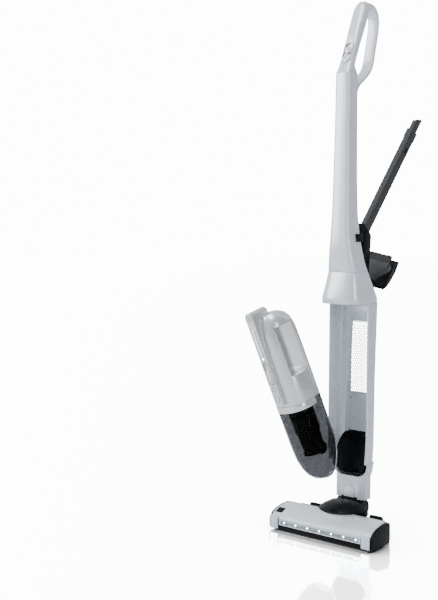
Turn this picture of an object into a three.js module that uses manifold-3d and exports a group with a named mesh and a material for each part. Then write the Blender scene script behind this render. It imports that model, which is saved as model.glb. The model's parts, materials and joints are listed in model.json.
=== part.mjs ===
// A cordless two-in-one stick vacuum: a floor head, an upright stick with a bay, a handheld unit that swings
// out of the bay, and two accessories on a clip behind the stick. Millimetres, +Z up, the front faces -Y.
import * as THREE from "three";
import { mergeVertices } from "three/addons/utils/BufferGeometryUtils.js";
import Module from "manifold-3d";

const wasm = await Module();
wasm.setup();

// Driving dimensions.
const GAP = 0.3; // clearance kept between neighbouring pieces
const HEAD = { half: 126, front: -71, back: 3, cap: 6 }; // floor head
const SWIVEL = { y: 31, r: 56 }; // turntable of the neck, about a vertical axis
const PIVOT = { y: 64, z: 46, r: 20.1, cheek: 24, outer: 30 }; // recline pivot between neck and stick
const ROLL = { y: -42, z: 20, r: 17.5 };
const BRUSH_MOTOR = { y: 19, z: 22 };
const REAR_WHEEL = { x: 78, y: 52, r: 14, half: 8 };
const COLUMN = { half: 40, front: 51, back: 87, r: 14, bottom: 66.6, top: 150 };
const BAY = { half: 51, front: 40, back: 91, top: 505.7, wall: 3.5, inner: 87.5 };
const GRILLE = { half: 23, bottom: 300, top: 462 };
const SEAM_Z = 575; // joint line between the upper housing and the stem
const KINK_Z = 1000; // joint line between the stem and the leaning grip
const GRIP_LEAN = THREE.MathUtils.degToRad(23.3);
const SWITCH = { z: 1043, half: 26, width: 11 };
const UNIT = { y: 38, bottom: 95, seam: 280, top: 500 }; // handheld unit, docked upright in the bay
const SWING = { axis: [0.69, -0.635, -0.346], point: [-50, -54, -42], angle: 21 }; // swung out of the bay
const BRUSH = { x: 12.5, y: 88.2, z: -14.4, turn: 8 }; // furniture brush, seen from the crevice tool
const TOOL = { tilt: 35, side: 7.2, at: [4, 86, 655], tip: 330, foot: -28 }; // accessories on the clip

const COLOURS = {
  pearl: ["#dfe3e8", 0.3, 0.1],
  silver: ["#c4c7ca", 0.28, 0.85],
  black: ["#141517", 0.45, 0.05],
  charcoal: ["#3a3f40", 0.6, 0],
  rubber: ["#1b1c1d", 0.85, 0],
  smoke: ["#5b6064", 0.15, 0],
  pad: ["#c3ccd6", 0.5, 0],
  light: ["#f6f8ff", 0.3, 0],
  steel: ["#a9adb1", 0.35, 0.9],
  gold: ["#c9a24a", 0.3, 0.9],
  board: ["#1f5a3a", 0.6, 0],
  bristle: ["#23262a", 0.9, 0],
};

// A closed geometry as a solid for joining and cutting.
function solid(geometry) {
  const g = geometry.clone();
  g.deleteAttribute("normal");
  g.deleteAttribute("uv");
  const merged = mergeVertices(g, 1e-4);
  const vertProperties = new Float32Array(merged.attributes.position.array);
  const triVerts = new Uint32Array(merged.index.array);
  return new wasm.Manifold(new wasm.Mesh({ numProp: 3, vertProperties, triVerts }));
}

function join(...solids) {
  return solids.reduce((a, b) => a.add(b));
}

function cut(body, ...tools) {
  return tools.reduce((a, b) => a.subtract(b), body);
}

function box(x0, x1, y0, y1, z0, z1) {
  const g = new THREE.BoxGeometry(x1 - x0, y1 - y0, z1 - z0);
  g.translate((x0 + x1) / 2, (y0 + y1) / 2, (z0 + z1) / 2);
  return solid(g);
}

// A round rod or cone between two points.
function rod(from, to, r, r2 = r, sides = 24) {
  const a = new THREE.Vector3(...from);
  const axis = new THREE.Vector3(...to).sub(a);
  const g = new THREE.CylinderGeometry(r2, r, axis.length(), sides);
  g.translate(0, axis.length() / 2, 0);
  g.applyQuaternion(new THREE.Quaternion().setFromUnitVectors(new THREE.Vector3(0, 1, 0), axis.normalize()));
  g.translate(a.x, a.y, a.z);
  return solid(g);
}

function ring(from, to, outer, inner, sides = 24) {
  const axis = new THREE.Vector3(...to).sub(new THREE.Vector3(...from)).normalize();
  const start = new THREE.Vector3(...from).sub(axis);
  const end = new THREE.Vector3(...to).add(axis);
  return cut(rod(from, to, outer, outer, sides), rod(start.toArray(), end.toArray(), inner, inner, sides));
}

// A side outline of (y, z) points, extruded along X.
function slab(points, x0, x1) {
  const shape = new THREE.Shape(points.map(([y, z]) => new THREE.Vector2(y, z)));
  const g = new THREE.ExtrudeGeometry(shape, { depth: x1 - x0, bevelEnabled: false });
  g.applyMatrix4(
    new THREE.Matrix4().makeBasis(
      new THREE.Vector3(0, 1, 0),
      new THREE.Vector3(0, 0, 1),
      new THREE.Vector3(1, 0, 0),
    ),
  );
  g.translate(x0, 0, 0);
  return solid(g);
}

// A level section: a rectangle from front to back, with its front and back corners rounded.
function plan([z, half, front, back, frontR, backR = frontR], grow = 0, steps = 5) {
  const points = [];
  const corners = [
    [half - frontR, front + frontR, frontR, -90],
    [half - backR, back - backR, backR, 0],
    [-half + backR, back - backR, backR, 90],
    [-half + frontR, front + frontR, frontR, 180],
  ];
  for (const [x, y, r, start] of corners) {
    for (let i = 0; i <= steps; i++) {
      const a = THREE.MathUtils.degToRad(start + (90 * i) / steps);
      const reach = Math.max(r + grow, 0.4);
      points.push(new THREE.Vector3(x + reach * Math.cos(a), y + reach * Math.sin(a), z));
    }
  }
  return points;
}

// A closed skin over sections with equal numbers of points, from the lowest to the highest.
function loftRings(rings) {
  const n = rings[0].length;
  const vertices = rings.flat();
  const faces = [];
  for (let s = 0; s + 1 < rings.length; s++) {
    for (let i = 0; i < n; i++) {
      const a = s * n + i;
      const b = s * n + ((i + 1) % n);
      faces.push([a, b, b + n], [a, b + n, a + n]);
    }
  }
  const last = (rings.length - 1) * n;
  const middle = (points) => points.reduce((m, p) => m.add(p), new THREE.Vector3()).divideScalar(n);
  vertices.push(middle(rings[0]), middle(rings[rings.length - 1]));
  for (let i = 0; i < n; i++) {
    const j = (i + 1) % n;
    faces.push([j, i, vertices.length - 2], [last + i, last + j, vertices.length - 1]);
  }
  const g = new THREE.BufferGeometry().setFromPoints(vertices);
  g.setIndex(faces.flat());
  return solid(g);
}

function loft(sections, grow = 0, steps = 5) {
  return loftRings(sections.map((section) => plan(section, grow, steps)));
}

// A strip of even thickness along a smooth path of (y, z) points, as wide as 2 x half.
function strap(path, thickness, half, steps = 28) {
  const curve = new THREE.CatmullRomCurve3(path.map(([y, z]) => new THREE.Vector3(0, y, z)));
  const outer = [];
  const inner = [];
  for (let i = 0; i <= steps; i++) {
    const p = curve.getPoint(i / steps);
    const t = curve.getTangent(i / steps);
    outer.push([p.y + (t.z * thickness) / 2, p.z - (t.y * thickness) / 2]);
    inner.unshift([p.y - (t.z * thickness) / 2, p.z + (t.y * thickness) / 2]);
  }
  return slab([...outer, ...inner], -half, half);
}

// A stadium plate lying in a local frame: long way along local Y, thickness along local Z.
function stadium(halfWidth, halfLength, z0, z1, y = 0) {
  const shape = new THREE.Shape();
  const straight = halfLength - halfWidth;
  shape.absarc(0, y + straight, halfWidth, 0, Math.PI, false);
  shape.absarc(0, y - straight, halfWidth, Math.PI, 2 * Math.PI, false);
  const g = new THREE.ExtrudeGeometry(shape, { depth: z1 - z0, bevelEnabled: false, curveSegments: 8 });
  g.translate(0, 0, z0);
  return solid(g);
}

function placed(body, matrix) {
  return body.transform(matrix.elements);
}

const root = new THREE.Group();

// Adds a finished piece to a group under its own name.
function piece(name, body, colour, group = root) {
  const mesh = body.getMesh();
  const g = new THREE.BufferGeometry();
  g.setAttribute("position", new THREE.BufferAttribute(new Float32Array(mesh.vertProperties), 3));
  g.setIndex(new THREE.BufferAttribute(new Uint32Array(mesh.triVerts), 1));
  const [color, roughness, metalness] = COLOURS[colour];
  const material = new THREE.MeshStandardMaterial({ color, roughness, metalness, flatShading: true });
  const made = new THREE.Mesh(g, material);
  made.name = name;
  group.add(made);
}

// Floor head: a black chassis over a sole plate, a white cover, and a lit front edge.
function floorHead() {
  const { half, front, back, cap } = HEAD;
  const coverOutside = [
    [front, 26], [front + 1, 31], [-62, 38], [-45, 45], [-22, 49], [-4, 50], [1, 48.5], [back, 45],
    [back, 24],
  ];
  const coverInside = [
    [0.5, 24], [0.5, 44], [-5, 47.4], [-22, 46.4], [-44, 42.4], [-60, 35.6], [-67.4, 30], [-68.4, 26],
  ];
  const turntable = rod([0, SWIVEL.y, 20], [0, SWIVEL.y, 120], SWIVEL.r + 1, SWIVEL.r + 1, 48);
  const beltSlot = box(104.2, 114, -50, 27, 0, 34);
  const cover = cut(slab([...coverOutside, ...coverInside], -half, half), turntable, beltSlot);
  piece("head_cover", cover, "pearl");

  const deck = slab(
    [[-70.6, 3.3], [-70.6, 14.6], [-67.6, 14.6], [-67.6, 25], [-60, 34.6], [-44, 41.6], [-22, 45.4],
      [-5.5, 46.2], [0, 43], [0, 3.3]],
    -half, half,
  );
  const hump = slab(
    [[-1, 3.3], [33, 3.3], [36, 8], [36, 32], [30, 40], [16, 44.5], [3.4, 44.5], [3.4, 23.6], [-1, 23.6]],
    -104, 104,
  );
  const beltCase = box(100, 116.5, -1, 30, 3.3, 37);
  const beltWay = cut(beltCase, box(90, 130, 0.2, 3.3, 23.7, 60));
  const { x: wheelX, y: wheelY, r: wheelR } = REAR_WHEEL;
  const legSide = [[30, 6], [46, 6], [46, 38], [41, 43.5], [30, 45]];
  const legs = [-1, 1].map((s) => slab(legSide, s * wheelX - 13, s * wheelX + 13));
  const wheelBays = [-1, 1].map((s) =>
    rod([s * wheelX - 9, wheelY, wheelR], [s * wheelX + 9, wheelY, wheelR], wheelR + 1.5),
  );
  const chamber = join(
    rod([-114, ROLL.y, ROLL.z], [114, ROLL.y, ROLL.z], 19.5),
    box(-114, 114, ROLL.y - 19.5, ROLL.y + 19.5, 0, ROLL.z),
  );
  const swingRoom = box(-62, 62, 16.5, 60, 0, 80);
  const dish = rod([0, SWIVEL.y, 37.8], [0, SWIVEL.y, 80], SWIVEL.r + 1, SWIVEL.r + 1, 48);
  const { y: motorY, z: motorZ } = BRUSH_MOTOR;
  const motorRoom = rod([66, motorY, motorZ], [101, motorY, motorZ], 13);
  const motorHatch = box(66, 101, 8, 30, 0, motorZ);
  const shaftHole = rod([100, motorY, motorZ], [106, motorY, motorZ], 3.2, 3.2, 16);
  const axleHoles = rod([-110, wheelY, wheelR], [110, wheelY, wheelR], 3);
  const mouthDuct = box(-16, 16, -30, 10, 22, 60);
  const chassis = cut(
    join(deck, hump, beltWay, ...legs), chamber, swingRoom, dish, motorRoom, motorHatch, shaftHole, axleHoles,
    beltSlot, mouthDuct, ...wheelBays,
  );
  piece("head_chassis", chassis, "black");

  const sole = cut(
    join(box(-118, 118, -67, 16, 0, 3), box(-104, -66, 10, 34, 0, 3), box(66, 104, 10, 34, 0, 3)),
    box(-110, 110, -60, -24, -1, 4),
  );
  piece("sole_plate", sole, "charcoal");

  for (const [side, s] of [["left", -1], ["right", 1]]) {
    const outline = [
      [-66, 3.3], [-70.5, 8], [-70.5, 26], [-61, 37.5], [-45, 44], [-22, 48], [-2, 48.5], [4, 43],
      [5, 10], [0, 3.3],
    ];
    const xs = [s * (half + GAP), s * (half + cap)].sort((a, b) => a - b);
    piece("end_cap_" + side, slab(outline, ...xs), "black");
    const padSide = [[-74, 7], [-74, 31], [-73, 33], [-71.3, 33.5], [-71.3, 5], [-73, 5]];
    piece("corner_pad_" + side, slab(padSide, s * 117 - 10, s * 117 + 10), "pad");
  }

  const lens = slab([[-71, 15], [-71, 24], [-69.6, 25.2], [-68, 25.2], [-68, 15]], -102, 102);
  piece("led_lens", cut(lens, box(-98, 98, -69.4, -67, 16.4, 23.8)), "light");
  piece("led_board", box(-97.5, 97.5, -69.2, -68.2, 16.8, 23.4), "board");

  const core = join(
    rod([-108, ROLL.y, ROLL.z], [104, ROLL.y, ROLL.z], 9),
    rod([-113.6, ROLL.y, ROLL.z], [113.6, ROLL.y, ROLL.z], 3, 3, 16),
    rod([104, ROLL.y, ROLL.z], [112, ROLL.y, ROLL.z], 8),
  );
  piece("brush_roll_core", core, "black");
  piece("roll_bristles", rollBristles(), "bristle");
  const belt = cut(
    beltOutline(10.4, 7.4, 105.5, 111),
    beltOutline(8.4, 5.4, 104, 112),
  );
  piece("drive_belt", belt, "rubber");
  const motor = join(
    rod([67, motorY, motorZ], [100, motorY, motorZ], 12),
    rod([99, motorY, motorZ], [103.6, motorY, motorZ], 2.5, 2.5, 12),
  );
  piece("brush_motor", motor, "steel");
  const pulley = ring([104.6, motorY, motorZ], [111.5, motorY, motorZ], 5.1, 2.6, 16);
  piece("motor_pulley", pulley, "steel");

  piece("wheel_axle_left", wheelAxle(-1), "steel");
  piece("wheel_axle_right", wheelAxle(1), "steel");
  piece("rear_wheel_left", rearWheel(-1), "rubber");
  piece("rear_wheel_right", rearWheel(1), "rubber");
}

// The closed outline of the belt round its two pulleys, as a plate across X.
function beltOutline(rollRadius, motorRadius, x0, x1) {
  const points = [];
  const tilt = Math.atan2(BRUSH_MOTOR.z - ROLL.z, BRUSH_MOTOR.y - ROLL.y);
  for (let i = 0; i <= 10; i++) {
    const a = Math.PI / 2 + tilt + (Math.PI * i) / 10;
    points.push([ROLL.y + rollRadius * Math.cos(a), ROLL.z + rollRadius * Math.sin(a)]);
  }
  for (let i = 0; i <= 10; i++) {
    const a = -Math.PI / 2 + tilt + (Math.PI * i) / 10;
    points.push([BRUSH_MOTOR.y + motorRadius * Math.cos(a), BRUSH_MOTOR.z + motorRadius * Math.sin(a)]);
  }
  return slab(points, x0, x1);
}

// Two helical rows of bristles on a thin sleeve round the roll's core.
function rollBristles() {
  const rings = [];
  const steps = 12;
  const around = 20;
  for (let s = 0; s <= steps; s++) {
    const x = -104 + (206 * s) / steps;
    const turn = (Math.PI * 1.5 * s) / steps;
    const points = [];
    for (let i = 0; i < around; i++) {
      const a = turn + (2 * Math.PI * i) / around;
      const r = i % (around / 2) < 2 ? ROLL.r : 11.5;
      points.push(new THREE.Vector3(x, ROLL.y + r * Math.cos(a), ROLL.z + r * Math.sin(a)));
    }
    rings.push(points);
  }
  return cut(loftRings(rings), rod([-110, ROLL.y, ROLL.z], [110, ROLL.y, ROLL.z], 9.3));
}

function wheelAxle(side) {
  const { x, y, r } = REAR_WHEEL;
  return rod([side * x - 12.6, y, r], [side * x + 12.6, y, r], 2.6, 2.6, 16);
}

function rearWheel(side) {
  const { x, y, r, half } = REAR_WHEEL;
  return ring([side * x - half, y, r], [side * x + half, y, r], r, 3, 32);
}

// Neck: a black turntable with two cheeks behind it that carry the recline pivot.
function neck() {
  const { y, z, r, cheek, outer } = PIVOT;
  const profile = [
    [0, 38.3], [SWIVEL.r, 38.3], [SWIVEL.r, 49], [54, 51.5], [45, 57.5], [34, 63], [22, 66.2], [0, 67],
  ];
  const g = new THREE.LatheGeometry(profile.map(([a, b]) => new THREE.Vector2(a, b)), 48);
  g.rotateX(Math.PI / 2);
  g.translate(0, SWIVEL.y, 0);
  const front = cut(solid(g), box(-70, 70, 43.6, 120, 0, 120));
  const cheeks = [-1, 1].map((s) => {
    const [x0, x1] = [s * cheek, s * outer].sort((a, b) => a - b);
    return join(box(x0, x1, 30, y, z - 18, z + 14), rod([x0, y, z], [x1, y, z], r - 0.6, r - 0.6, 32));
  });
  const pinHole = rod([-60, y, z], [60, y, z], 5.3);
  piece("neck_turntable", cut(join(front, ...cheeks), pinHole), "black");
  piece("pivot_pin", rod([-outer, y, z], [outer, y, z], 5, 5, 20), "steel");
  for (const [side, s] of [["left", -1], ["right", 1]]) {
    const xs = [s * (outer + GAP), s * (outer + 2.6)].sort((a, b) => a - b);
    const disc = rod([xs[0], y, z], [xs[1], y, z], r, r, 32);
    piece("pivot_disc_" + side, disc, "black");
  }
}

// Stick: pivot yoke, lower column, docking socket, bay, upper housing, stem, grip and loop.
function stick() {
  const { y, z } = PIVOT;
  const { half, front, back, r, bottom, top } = COLUMN;
  const barrel = rod([-23.6, y, z], [23.6, y, z], 19.8, 19.8, 32);
  const plug = loft([[bottom, half, front, back, r], [86, half, front, back, r]], -2.9);
  const buttonRoom = box(-15, 15, front, 59, bottom - 1, 97);
  const tongue = join(box(-20, 20, y - 14, y + 14, z, 70), cut(plug, buttonRoom));
  piece("pivot_yoke", cut(join(barrel, tongue), rod([-60, y, z], [60, y, z], 5.4)), "black");

  const columnSections = [
    [bottom, half, front, back, r],
    [118, half, front, back, r],
    [128, 44, 49, 89, r + 2],
    [top, 48, 44, 90, r + 4],
  ];
  const socketRoom = loft(SOCKET_ROOM);
  const buttonWindow = archPlate(13.4, 45, 60, 69.6, 96.4);
  const column = cut(
    loft(columnSections),
    loft([[60, half, front, back, r], [125, half, front, back, r]], -2.5),
    box(-20.4, 20.4, y - 14.4, y + 14.4, 60, 71),
    socketRoom, buttonWindow,
  );
  piece("column_shell", column, "pearl");
  piece("head_release_button", join(archPlate(13, 49.6, 53, 70, 96), box(-11, 11, 52, 56, 72, 90)), "pearl");

  const duct = ring([0, 71, 88], [0, 71, 117.6], 11, 9);
  piece("suction_tube", duct, "rubber");

  const unitRoom = loft(unitSections("container"), 2);
  const wedgeSide = [[46, 118.3], [46, 125], [87, 214], [87, 118.3]];
  const wedge = slab(wedgeSide, -47, 47).intersect(loft(SOCKET_ROOM, -GAP));
  const elbow = join(rod([0, 55, 158], [0, 71, 151], 11), rod([0, 71, 110], [0, 71, 152], 11));
  piece("docking_socket", cut(wedge, unitRoom, elbow), "black");

  const bayOutside = [
    [top + GAP, 48, BAY.front, 90, 2, 26],
    [200, BAY.half, BAY.front, 90, 2, 28],
    [335, BAY.half, BAY.front, BAY.back, 2, 28],
    [423, BAY.half, BAY.front, 96, 2, 29],
    [BAY.top, BAY.half, BAY.front, 100, 2, 30],
  ];
  const bayInside = [
    [top, 44.5, -20, 86.5, 2, 20],
    [200, BAY.half - BAY.wall, -20, BAY.inner, 2, 24],
    [BAY.top + 5, BAY.half - BAY.wall, -20, BAY.inner, 2, 24],
  ];
  const window = box(-GRILLE.half, GRILLE.half, 80, 120, GRILLE.bottom, GRILLE.top);
  piece("bay_shell", cut(loft(bayOutside), loft(bayInside), window), "pearl");
  piece("grille_panel", grillePanel(), "pearl");

  upperHousing();
  stemAndGrip();
}

// The space that the docking socket fills, in the top of the column and the foot of the bay.
const SOCKET_ROOM = [
  [118, 22, 20, 84.3, 2, 12],
  [121, 30, 20, 84.8, 2, 14],
  [125, 35.6, 20, 85.4, 2, 15],
  [131, 39.8, 20, 86.2, 2, 16],
  [140, 42.6, 20, 86.2, 2, 18],
  [150, 44.2, 20, 86.2, 2, 20],
  [200, 47.2, 20, 87.2, 2, 24],
  [220, 47.2, 20, 87.2, 2, 24],
];

// A plate with a half-round top, facing the front, from y0 to y1.
function archPlate(halfWidth, y0, y1, z0, z1) {
  const shape = new THREE.Shape();
  shape.moveTo(-halfWidth, z0);
  shape.lineTo(halfWidth, z0);
  shape.absarc(0, z1 - halfWidth, halfWidth, 0, Math.PI, false);
  const g = new THREE.ExtrudeGeometry(shape, { depth: y1 - y0, bevelEnabled: false, curveSegments: 8 });
  g.rotateX(Math.PI / 2);
  g.translate(0, y1, 0);
  return solid(g);
}

// The bay's rear vent: hexagonal openings in staggered rows.
function grillePanel() {
  const rows = 9;
  const pitch = 17;
  const holes = [];
  for (let row = 0; row < rows; row++) {
    for (const x of row % 2 ? [-8, 8] : [-15.5, 0, 15.5]) {
      const z = GRILLE.bottom + 13 + row * pitch;
      holes.push(rod([x, 80, z], [x, 100, z], 5.6, 5.6, 6));
    }
  }
  const panel = box(
    -GRILLE.half + GAP, GRILLE.half - GAP, 86, 88.6, GRILLE.bottom + GAP, GRILLE.top - GAP,
  );
  return cut(panel, ...holes);
}

const HOUSING = [
  [506, 50, -12, 100, 34, 30],
  [518, 50, -14, 99, 34, 30],
  [545, 44, -6, 87, 28, 26],
  [SEAM_Z - GAP, 38, 1, 73, 22, 22],
];
const STEM = [
  [SEAM_Z, 38, 1, 73, 22, 22],
  [598, 33, -2, 63, 17, 17],
  [622, 29, -4, 56, 13, 13],
  [655, 25, -4, 50, 11, 11],
  [702, 22, -2, 45, 9, 9],
  [780, 20.5, 0, 43, 8.5, 8.5],
  [880, 19, 2, 43, 8, 8],
  [KINK_Z - GAP, 18.5, 4, 43, 8, 8],
];
const GRIP = [
  [KINK_Z, 18.5, 4, 43, 8, 8],
  [1008, 17.8, 9, 38, 9, 9],
  [1017, 17, 13, 35, 10, 10],
  [1060, 17, 31.5, 55, 11, 11],
  [1100, 17, 49, 76, 11, 12],
  [1126, 17, 60, 88, 11, 12],
  [1146, 16, 69, 97, 11, 12],
  [1156, 12, 75, 98, 10, 10],
  [1160, 8, 80, 94, 6.8, 6.8],
];

// Upper housing: battery, board, contacts and charging socket under the stem.
function upperHousing() {
  const inside = [
    [500, 50, -12, 100, 34, 30],
    [518, 50, -14, 99, 34, 30],
    [545, 44, -6, 87, 28, 26],
    [SEAM_Z + 5, 38, 1, 73, 22, 22],
  ];
  const chargeHole = rod([0, 60, 540], [0, 110, 540], 7);
  const bulk = loft(HOUSING);
  const shell = cut(bulk, loft(inside, -3.2), chargeHole);
  piece("upper_housing", shell, "pearl");

  const ceilingTop = [[506.3, 50, -12, 100, 34, 30], [513, 50, -13, 99, 34, 30]];
  const contactHole = box(-19, 19, 8, 22, 490, 520);
  piece("bay_ceiling", cut(loft(ceilingTop, -3.6), contactHole), "pearl");
  const contacts = join(
    box(-18.6, 18.6, 8.4, 21.6, 504.5, 512),
    box(-18, 18, 9, 21, 511, 514),
    box(-21, 21, 6, 24, 513.4, 515),
  );
  piece("contact_block", contacts, "black");
  const pins = join(
    box(-16, 16, 12, 18, 515.3, 517),
    ...[-15, -9, -3, 3, 9, 15].map((x) => box(x - 1, x + 1, 13, 17, 515.3, 519)),
  );
  piece("contact_bar", pins, "gold");
  piece("battery_pack", loft([[521, 34, 10, 74, 12], [556, 30, 12, 66, 12]]), "charcoal");
  piece("control_board", box(-22, 22, 16, 58, 560, 562), "board");
  const jack = cut(rod([0, 74, 540], [0, 90.5, 540], 6.6), rod([0, 79, 540], [0, 95, 540], 3.2, 3.2, 16));
  piece("charging_socket", jack, "black");
}

// Stem, grip and loop handle, with the two-part power switch on the grip's front.
function stemAndGrip() {
  const stemOutside = loft(STEM);
  const stemInside = STEM.map((s) => [...s]);
  stemInside[0][0] -= 5;
  stemInside[stemInside.length - 1][0] += 5;
  piece("stem_shell", cut(stemOutside, loft(stemInside, -2.6)), "pearl");

  const frame = new THREE.Matrix4().makeRotationX(Math.PI / 2 - GRIP_LEAN);
  frame.setPosition(0, 6 + (SWITCH.z - 1001) * Math.tan(GRIP_LEAN), SWITCH.z);
  const pocket = placed(stadium(SWITCH.width + GAP, SWITCH.half + GAP, -5, 6), frame);
  const core = GRIP.slice(1, 7).map((s) => [...s]);
  core[0][0] = KINK_Z - 5;
  core[0][2] += 3;
  core[0][3] += 3;
  const grip = cut(loft(GRIP), cut(loft(core, -3), placed(box(-14, 14, -34, 34, -9, 4), frame)), pocket);
  piece("grip", grip, "pearl");

  const bezel = cut(stadium(SWITCH.width, SWITCH.half, -4, 0.9), stadium(8.6, 23.6, -2.8, 3));
  piece("switch_bezel", placed(bezel, frame), "steel");
  const slider = join(stadium(8.2, 8.4, -2.5, 1.2, 8), box(-5, 5, 6.5, 9.5, 1, 3));
  piece("power_slider", placed(slider, frame), "pearl");
  piece("boost_button", placed(stadium(8.2, 8.4, -1, 1.4, -13.5), frame), "pearl");

  const path = [
    [41, 958], [54, 977], [84, 998], [106, 1020], [119, 1062], [131, 1112], [129, 1136], [114, 1151],
    [92, 1155],
  ];
  const loop = cut(strap(path, 5.5, 13), loft(STEM, GAP), loft(GRIP, GAP));
  const parts = loop.decompose().sort((a, b) => b.volume() - a.volume());
  piece("handle_loop", parts[0], "pearl");
}

// Sections of the handheld unit, docked: z, half width, front, back, corner radii.
function unitSections(part) {
  const { y, bottom, seam } = UNIT;
  const container = [
    [bottom, 13, -8, 18, 12, 12],
    [bottom + 5, 23, -20, 26, 20, 20],
    [bottom + 16, 33, -31, 34, 28, 26],
    [bottom + 35, 39, -40, 40, 32, 30],
    [bottom + 60, 43, -45, 44, 34, 32],
    [bottom + 88, 44, -47, 46, 35, 32],
    [seam - 15, 44, -48, 46, 35, 32],
  ];
  const casing = [
    [seam + GAP, 44, -48, 46, 35, 32],
    [340, 44, -48, 46, 35, 32],
    [400, 43.5, -47, 46, 35, 32],
    [440, 43, -45, 45, 34, 32],
    [462, 40, -40, 40, 32, 30],
    [475, 34, -34, 30, 28, 26],
    [482, 26, -28, 18, 22, 20],
  ];
  const chosen = part === "container" ? container : casing;
  return chosen.map(([z, half, front, back, rf, rb]) => [z, half, y + front, y + back, rf, rb]);
}

// Handheld unit, modelled docked and then swung out about its hinge line.
function handheld() {
  const swung = new THREE.Group();
  const axis = new THREE.Vector3(...SWING.axis).normalize();
  const point = new THREE.Vector3(...SWING.point);
  const turn = new THREE.Quaternion().setFromAxisAngle(axis, THREE.MathUtils.degToRad(SWING.angle));
  swung.quaternion.copy(turn);
  swung.position.copy(point.clone().sub(point.clone().applyQuaternion(turn)));
  root.add(swung);
  container(swung);
  motorUnit(swung);
  frontBar(swung);
}

// Smoked dust container with its filter, collar and inlet flap.
function container(group) {
  const { y, seam, bottom } = UNIT;
  const sections = unitSections("container");
  const inner = sections.slice(1).map((s) => [...s]);
  inner[0][0] += 3;
  inner[inner.length - 1][0] += 5;
  const slope = slab([[0, 40], [40, 100], [y + 50, 214], [140, 214], [140, 40]], -60, 60);
  const slopeInside = slab([[0, 44], [38, 102], [y + 48, 217], [140, 217], [140, 44]], -60, 60);
  const rearWall = cut(
    loft([[seam - 15.2, 44, y - 48, y + 46, 35, 32], [seam - GAP, 44, y - 48, y + 46, 35, 32]]),
    loft([[seam - 20, 44, y - 48, y + 46, 35, 32], [seam + 5, 44, y - 48, y + 46, 35, 32]], -2.2),
    box(-60, 60, -60, y + 8, 200, 300),
  );
  const inlet = rod([0, 54, 158.9], [0, 74, 150.5], 12);
  const cup = cut(loft(sections), cut(loft(inner, -2.2), slopeInside), slope, inlet);
  piece("dust_container", join(cup, rearWall), "smoke", group);

  const flap = rod([0, 59.3, 156.7], [0, 57.9, 157.3], 14.5);
  piece("inlet_flap", flap, "rubber", group);

  const collar = cut(
    loft([[seam - 14.7, 44, y - 48, y + 46, 35, 32], [seam - GAP, 44, y - 48, y + 46, 35, 32]], 0.3),
    loft([[seam - 20, 44, y - 48, y + 46, 35, 32], [seam + 5, 44, y - 48, y + 46, 35, 32]], -2.6),
    box(-60, 60, y + 7.7, 140, 200, 300),
  );
  piece("container_collar", collar, "silver", group);

  const profile = [[0, bottom + 62], [26, bottom + 62], [26, bottom + 66], [24, bottom + 68], [25.5, 205],
    [28, 206], [28, 210], [26, 211], [27.5, seam - 6], [0, seam - 6]];
  const g = new THREE.LatheGeometry(profile.map(([a, b]) => new THREE.Vector2(a, b)), 28);
  g.rotateX(Math.PI / 2);
  g.translate(0, y - 3, 0);
  const flapRoom = slab([[-26, 0], [16, 100], [64, 214], [200, 214], [200, 0]], -60, 60);
  piece("filter_cartridge", cut(solid(g), flapRoom), "black", group);
}

// Silver casing with the grip opening, holding the suction motor and its fan.
function motorUnit(group) {
  const { y, seam } = UNIT;
  const casing = unitSections("casing");
  const fingerRoom = box(-70, 70, y - 32, y + 30, 342, 452);
  const palmRoom = loft([[342, 44, y - 40, y + 46, 30, 30], [452, 42, y - 40, y + 44, 30, 30]], -5);
  const barRoom = barSolid(GAP);
  const motorRoom = rod([0, y, 260], [0, y, 334], 31, 31, 32);
  const body = cut(loft(casing), fingerRoom, palmRoom, barRoom, motorRoom);
  piece("motor_casing", body, "silver", group);
  const shaft = rod([0, y, 288], [0, y, 301], 3, 3, 12);
  piece("suction_motor", join(rod([0, y, 300], [0, y, 332], 28, 28, 32), shaft), "steel", group);
  const fan = join(
    ring([0, y, 282], [0, y, 296], 8, 3.4, 20),
    ring([0, y, 282], [0, y, 283.5], 27, 5, 32),
    ...Array.from({ length: 8 }, (_, i) => {
      const blade = new THREE.BoxGeometry(20, 1.6, 11);
      blade.translate(16.5, 0, 288);
      blade.rotateZ((Math.PI * i) / 4);
      blade.translate(0, y, 0);
      return solid(blade);
    }),
  );
  piece("suction_fan", fan, "charcoal", group);
}

// The bar's outline: a flat strip with a half-round top that runs back over the casing.
function barSolid(grow = 0) {
  const { y } = UNIT;
  const width = 11 + grow;
  const front = archPlate(width, y - 58, y - 33 + grow, 288 - grow, UNIT.top + grow);
  const cap = archPlate(width, y - 40, y - 8 + grow, 470 - grow, UNIT.top + grow);
  return join(front, cap);
}

// Front bar of the handheld, with its slide switch, two disc buttons and charge window.
function frontBar(group) {
  const { y, top } = UNIT;
  const face = y - 58;
  const frontFrame = new THREE.Matrix4().makeRotationX(Math.PI / 2);
  frontFrame.setPosition(0, face, 0);
  const at = (body) => placed(body, frontFrame);
  const pockets = [
    rod([0, face - 1, top - 12], [0, face + 3, top - 12], 6.8),
    rod([0, face - 1, 303], [0, face + 3, 303], 6.8),
    at(stadium(7, 26, -3.5, 1, 362)),
    at(stadium(3.5, 6, -1.5, 1, 325)),
  ];
  piece("front_bar", cut(barSolid(), ...pockets), "silver", group);
  for (const [name, z] of [["unit_release_button", top - 12], ["container_release_button", 303]]) {
    piece(name, rod([0, face - 0.8, z], [0, face + 1.2, z], 6.4), "silver", group);
  }
  const slider = join(stadium(6.6, 17, -3, 0.6, 354), stadium(4, 5.5, 0, 2.2, 348));
  piece("speed_slider", at(slider), "silver", group);
  piece("charge_window", at(stadium(3.2, 5.7, -1.2, 0.2, 325)), "light", group);
}

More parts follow.
